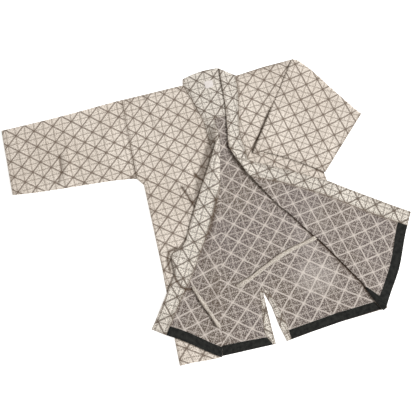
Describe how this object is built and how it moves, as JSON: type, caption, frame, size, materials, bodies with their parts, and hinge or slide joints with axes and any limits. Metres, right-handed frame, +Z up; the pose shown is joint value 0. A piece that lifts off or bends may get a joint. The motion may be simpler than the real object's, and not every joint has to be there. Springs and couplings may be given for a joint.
{
  "type": "martial arts jacket",
  "caption": "Open martial arts jacket of thick patterned cloth, laid flat with both fronts turned out, one sleeve spread, the other bent over the chest, dark hem tape and inside ties.",
  "frame": {"origin": "centre of the laid-out jacket's bounding box, on the surface it lies on", "axes": "+Z up from the surface, +Y towards the neck, +X towards the wearer's left"},
  "size_m": [1.0984, 0.819, 0.0126],
  "materials": {
    "outside_cloth": "thick figured cotton, cream ground",
    "inside_cloth": "the same cloth's dark inner face",
    "band_cloth": "doubled and stitched through",
    "hem_tape": "dark woven tape",
    "label": "plain woven patch"
  },
  "bodies": {
    "root": {"back": "inside_cloth", "front_right": "outside_cloth", "front_left": "outside_cloth", "sleeve_right": "outside_cloth", "sleeve_left": "outside_cloth", "neckband": "band_cloth", "lapel_right": "band_cloth", "lapel_left": "band_cloth", "tape_front_right": "hem_tape", "tape_front_left": "hem_tape", "tape_back_right": "hem_tape", "tape_back_left": "hem_tape", "vent_facing_right": "band_cloth", "vent_facing_left": "band_cloth", "tie_long": "band_cloth", "tie_short": "band_cloth", "label": "label"}
  },
  "joints": []
}
